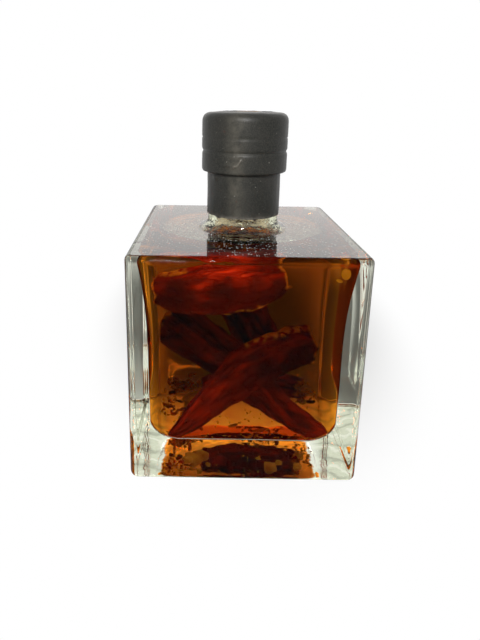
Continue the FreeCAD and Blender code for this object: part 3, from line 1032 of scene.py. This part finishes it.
# ---- capsule and stopper
FILM = 0.3  # thickness of the film
FILM_NECK = NECK + 0.05 + FILM
FILM_RING = FINISH_RADIUS + 0.1 + 0.05 + FILM
FILM_STEP = FINISH_BOTTOM - FILM
FILM_LOW = capsule_low[2]
FILM_TOP = capsule_high[2]
HOLE = 9.65  # radius of the hole in the top
GROOVE = 0.75  # half the height of the groove between finish ring and stopper
GROOVE_DEPTH = 0.50
FILM_CORNERS = (  # r, z, round
    (FILM_NECK, FILM_LOW, 0), (FILM_NECK, FILM_STEP, 0.5), (FILM_RING - 0.1, FILM_STEP, 0.7),
    (FILM_RING, FINISH_BOTTOM + 1.2, 0.4), (FILM_RING, FINISH_TOP - GROOVE, 0.4),
    (FILM_RING - GROOVE_DEPTH, FINISH_TOP, 0.4), (FILM_RING, FINISH_TOP + GROOVE, 0.4),
    (FILM_RING, FILM_TOP - 0.28, 3.1), (HOLE, FILM_TOP, 0))
FILM_COLUMNS = 340
# directions round the film, in radians
HIGHLIGHT_SIDE = 4.45  # the side with the painted highlight, a paler band
COVERED_SIDE = 3.9  # where it reaches furthest in over the stopper
TORN_SIDE = 3.95  # where its lower edge is torn down
LIFTED_SIDE = 4.05  # where its lip stands up
CREASE = ((-2.2, 103.4), (-2.8, 102.3), (-3.5, 101.5), (-4.5, 101.2))  # x, z of a crease in front


def bell(value, middle, width, power=2):
    """1 in the middle, falling to 0 on both sides."""
    return exp(-((value - middle) / width) ** power)


def rounded(corners, step=0.45):
    """Points along a line of (r, z, round) corners, each turned with its round."""
    ends = [np.array(corner[:2], float) for corner in corners]
    line = [ends[0]]
    for i in range(1, len(corners) - 1):
        a, b, c = ends[i - 1:i + 2]
        size = corners[i][2]
        start = b + (a - b) / np.linalg.norm(a - b) * size
        end = b + (c - b) / np.linalg.norm(c - b) * size
        count = max(3, round(2 * size / step))
        line += [(1 - t) ** 2 * start + 2 * t * (1 - t) * b + t * t * end
                 for t in np.linspace(0, 1, count)]
    line.append(ends[-1])
    points = [line[0]]
    for p in line[1:]:
        gap = np.linalg.norm(p - points[-1])
        if gap < 0.02:
            continue
        count = max(1, ceil(gap / step))
        points += [points[-1] + (p - points[-1]) * (i / count) for i in range(1, count + 1)]
    return points


def bent_line(x, z, points):
    """How near (x, z) is to a line of points, and on which side."""
    best, side = 99.0, 0.0
    for (ax, az), (bx, bz) in zip(points, points[1:]):
        length = hypot(bx - ax, bz - az)
        t = min(1.0, max(0.0, ((x - ax) * (bx - ax) + (z - az) * (bz - az)) / length ** 2))
        away = hypot(x - ax - t * (bx - ax), z - az - t * (bz - az))
        if away < best:
            best = away
            side = copysign(1.0, (bx - ax) * (z - az) - (bz - az) * (x - ax))
    return best, side


def film_relief(angle, r, z):
    """How far the film stands out here: soft waves, folds, dents and a crease."""
    c, s = cos(angle), sin(angle)
    x = r * c
    out = 0.07 * noise_at(c * 1.6, s * 1.6, z * 0.13)
    out += 0.035 * fractal(Vector((c * 5, s * 5, z * 0.35)))
    if z < FINISH_BOTTOM:
        out += 0.05 * noise_at(c * 9, s * 9, z * 0.08 + 4.0)
        low = (z - FILM_LOW) / 2.5
        if low < 1:
            out += 0.12 * (1 - low) * noise_at(c * 7, s * 7, 9.0)
    # a faint groove round the stopper's head
    out -= 0.20 * bell(z, 110.2 + 0.15 * sin(3 * angle), 0.28)
    if s < 0:
        away, side = bent_line(x, z, CREASE)
        out += 0.42 * bell(away, 0.0, 0.30)
        if side < 0:
            out -= 0.28 * bell(away, 0.55, 0.3)
        if -9.5 < x < -1.5:
            # a long dent with a ridge over it
            out -= 0.24 * bell(z, 100.0, 0.9) * bell(x, -6.0, 2.6, 4)
            out += 0.20 * bell(z, 101.5, 0.28) * bell(x, -6.4, 2.4, 4)
        # a bump and a dent on the neck
        out += 0.35 * bell(x, -10.3, 0.8) * bell(z, 96.8, 0.8)
        out -= 0.20 * bell(x, -9.2, 0.7) * bell(z, 95.8, 0.7)
    return out


def film_point(p, normal, angle):
    """(r, z) of the film's outer side in one direction, with its uneven lower edge and lip."""
    c, s = cos(angle), sin(angle)
    q = p + normal * film_relief(angle, p[0], p[1])
    low = max(0.0, 1 - (p[1] - FILM_LOW) / 2.0)
    ragged = 0.22 * noise_at(c * 4, s * 4, 1.0) + 0.12 * noise_at(c * 15, s * 15, 2.0)
    q = q + np.array((0.0, -low * (ragged + 0.5 * bell(angle, TORN_SIDE, 0.09))))
    near = lip_share(p, 1.6)
    cover = near * 3.2 * (0.5 + 0.5 * cos(angle - COVERED_SIDE)) ** 2
    q = q + np.array((-cover, 0.1 * cover + 0.25 * near * bell(angle, LIFTED_SIDE, 0.25)))
    raised = 0.12 + 0.14 * noise_at(c * 2.6, s * 2.6, 3.0) + 0.1 * max(0.0, s - 0.2)
    q = q + np.array((near * 0.45 * noise_at(c * 2.2, s * 2.2, 6.0), near * raised))
    q[1] = min(q[1], stopper_high[2] - 0.02)
    return q


def lip_share(p, width):
    """1 at the film's lip, falling to 0 over this width."""
    return max(0.0, 1 - (p[0] - HOLE) / width) if p[1] > FILM_TOP - 1.5 else 0.0


def film():
    """The shrink film: what it covers shows as steps and a groove; its lip and edge are uneven."""
    line = rounded(FILM_CORNERS)
    count, n = len(line), FILM_COLUMNS
    normals = []
    for i in range(count):
        a, b = line[max(0, i - 1)], line[min(count - 1, i + 1)]
        along = (b - a) / np.linalg.norm(b - a)
        normals.append(np.array((along[1], -along[0])))
    turns = full_turn(n)
    outside = [[film_point(p, normal, a) for a in turns] for p, normal in zip(line, normals)]
    points, values = [], []
    for thickness in (0, FILM):
        for i, p in enumerate(line):
            for k, angle in enumerate(turns):
                q = outside[i][k] - normals[i] * thickness
                points.append((q[0] * cos(angle), q[0] * sin(angle), q[1]))
                # edge: paler wear at the lower edge, and a painted highlight along the crease
                edge = exp(-i * 0.9)
                if angle > pi:
                    crease, _ = bent_line(p[0] * cos(angle), p[1], CREASE)
                    edge = max(edge, 0.8 * bell(crease, 0.0, 0.22))
                # painted highlight: a paler band down one side
                values.append((edge, bell(angle, HIGHLIGHT_SIDE, 0.21), lip_share(p, 1.2)))
    faces = []
    inner = count * n
    top = (count - 1) * n
    for face in tube_faces(count, n):
        faces += [face, tuple(inner + i for i in reversed(face))]
    for k in range(n):
        j = (k + 1) % n
        faces += [(k, inner + k, inner + j, j),
                  (top + k, top + j, inner + top + j, inner + top + k)]
    piece = new_mesh("shrink_film", points, faces)
    keep_values(piece, "POINT", dict(zip(("edge", "painted_highlight", "lip"), zip(*values))))
    return piece


FILM_DARK, FILM_CLOUD = (0.009, 0.010, 0.0085), (0.019, 0.0185, 0.016)
FILM_GRAIN = (0.034, 0.032, 0.027)
FILM_HIGHLIGHT = (0.075, 0.069, 0.055)
FILM_WEAR_AND_HIGHLIGHT = (0.22, 0.20, 0.17)
FILM_LIP_SHADE = (0.002, 0.002, 0.002)
FILM_DUST = (0.20, 0.19, 0.17)
WOOD_STOPS = [(0.0, (0.30, 0.17, 0.075)), (0.5, (0.46, 0.29, 0.14)), (1.0, (0.56, 0.38, 0.20))]
WOOD_PORE = (0.16, 0.08, 0.035)


def film_material():
    """Matt charcoal film, warmer and paler in a painted highlight, with fine grain and stray dust.
    """
    m = material("capsule_film")
    grain = m.noise(2600.0, 2.0, 0.7)
    # painted highlight: a warmer, paler band down one side
    painted_highlight = m.times(m.mapping(0.0, 1.0, m.attribute("painted_highlight"), 0.0, 0.75),
                     m.mapping(0.25, 0.6, m.noise(260.0, 5.0, 0.7)))
    # paler wear at the lower edge, and a painted highlight along the crease
    wear_and_crease_highlight = m.times(m.attribute("edge"), m.mapping(0.3, 0.7, m.noise(500.0)))
    colour = FILM_DARK
    for share, over in (
            (m.mapping(0.3, 0.7, m.noise(120.0)), FILM_CLOUD),
            (m.mapping(0.42, 0.66, grain, 0.0, 0.8), FILM_GRAIN),
            (painted_highlight, FILM_HIGHLIGHT),
            (wear_and_crease_highlight, FILM_WEAR_AND_HIGHLIGHT),
            # painted shade: the lip round the hole is painted near black
            (m.mapping(0.0, 0.5, m.attribute("lip"), 0.0, 0.9), FILM_LIP_SHADE),
            (m.mapping(0.79, 0.83, m.noise(1300.0, 1.0, 0.4)), FILM_DUST)):
        colour = m.mixed(share, colour, over)
    shader = m.principled(colour, m.mapping(0.3, 0.7, grain, 0.34, 0.46), 0.18)
    m.bump(grain, 0.25, 0.00012, shader)
    return m.shown(shader)


def wood_material():
    """Pale turned wood: rings and fine pores."""
    m = material("stopper_wood")
    shift = m.add("ShaderNodeMapping", Location=(0.011, 0.016, 0.0), Scale=(1.0, 1.0, 0.12),
                  Vector=m.place())
    rings = m.add("ShaderNodeTexWave", wave_type="RINGS", rings_direction="Z", Scale=260.0,
                  Distortion=2.2, Detail=3.0, Vector=shift)
    pores = m.noise(2400.0, 3.0, 0.7, m.place((1.0, 1.0, 0.2)))
    colour = m.mixed(m.mapping(0.55, 0.72, pores, 0.0, 0.6),
                     m.ramp(rings.outputs["Fac"], WOOD_STOPS), WOOD_PORE)
    shader = m.principled(colour, 0.62, 0.3)
    m.bump(pores, 0.35, 0.0002, shader)
    return m.shown(shader)


capsule = film()
capsule.data.materials.append(film_material())
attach(capsule, "root")
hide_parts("capsule")
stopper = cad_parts["stopper"]
stopper.data.materials.clear()
stopper.data.materials.append(wood_material())


# ---- floor, light, camera
FLOOR_HALF = 6.0  # metres
FLOOR_Z = -0.0002
SKY_LIGHT = 0.18  # the world's strength for light on surfaces; the eye sees plain white


def floor_material():
    """A pale floor that turns into the white background away from the bottle, for the eye only."""
    m = material("floor")
    diffuse = m.add("ShaderNodeBsdfDiffuse", Color=(0.78, 0.78, 0.77))
    white = m.add("ShaderNodeEmission", Color=(1, 1, 1), Strength=1.0)
    place = m.add("ShaderNodeMapping", Location=(-0.02, -0.11, 0.0), Scale=(1.8, 1.0, 1.0),
                  Vector=m.add("ShaderNodeNewGeometry").outputs["Position"])
    distance = m.add("ShaderNodeVectorMath", operation="LENGTH")
    m.put(place, distance.inputs[0])
    far = m.mapping(0.06, 0.17, distance.outputs["Value"], how="SMOOTHSTEP")
    return m.shown(m.blend(m.times(far, m.seen_by_eye()), diffuse, white))


def floor_piece():
    mesh = bpy.data.meshes.new("floor")
    corners = [(x * FLOOR_HALF, y * FLOOR_HALF, FLOOR_Z)
               for x, y in ((-1, -1), (1, -1), (1, 1), (-1, 1))]
    mesh.from_pydata(corners, [], [(0, 1, 2, 3)])
    mesh.materials.append(floor_material())
    return linked("floor", mesh)


def studio():
    """A white room to the eye, and a dim even light on everything."""
    m = Nodes(bpy.data.worlds.new("studio"), "ShaderNodeOutputWorld")
    level = m.mapping(0.0, 1.0, m.seen_by_eye(), SKY_LIGHT, 1.0)
    return m.shown(m.add("ShaderNodeBackground", Color=(1, 1, 1), Strength=level))


def lamp(name, place, target, power, width, height=None, colour=(1, 1, 1)):
    """A soft lamp: a disc, or a rectangle if it has a height."""
    data = bpy.data.lights.new(name, "AREA")
    data.shape = "RECTANGLE" if height else "DISK"
    data.size = width
    if height:
        data.size_y = height
    data.energy = power
    data.color = colour
    piece = linked(name, data)
    piece.location = place
    piece.rotation_euler = (Vector(target) - Vector(place)).to_track_quat("-Z", "Y").to_euler()


floor = floor_piece()
scene = bpy.context.scene
scene.world = studio()
lamp("key", (-0.06, -0.84, 0.525), (0, 0, 0.04), 10.5, 0.22)
lamp("sky", (0.0, 1.6, 0.56), (0, 0, 0.06), 2.0, 1.8, 0.55, (1.0, 0.93, 0.87))

CAMERA_PLACE = Vector((-0.01172, -0.16995, 0.12155))
RIGHT = Vector((0.99988, 0.01069, 0.01117))
DOWN = Vector((0.01336, -0.23321, -0.97234))
AHEAD = Vector((-0.00779, 0.97237, -0.23332))
camera_data = bpy.data.cameras.new("camera")
camera_data.sensor_fit = "AUTO"
camera_data.sensor_width = 36.0
camera_data.lens = 26.66
camera_data.shift_x = 0.0516
camera_data.shift_y = -0.161
camera_data.clip_start = 0.01
camera_data.clip_end = 50.0
camera = linked("camera", camera_data)
turned = Matrix((RIGHT, -DOWN, -AHEAD)).transposed().to_4x4()
camera.matrix_world = Matrix.Translation(CAMERA_PLACE) @ turned
scene.camera = camera
scene.view_settings.view_transform = "Standard"
scene.cycles.max_bounces = 32
scene.cycles.transmission_bounces = 32
scene.cycles.glossy_bounces = 16
scene.cycles.diffuse_bounces = 6
scene.cycles.transparent_max_bounces = 16
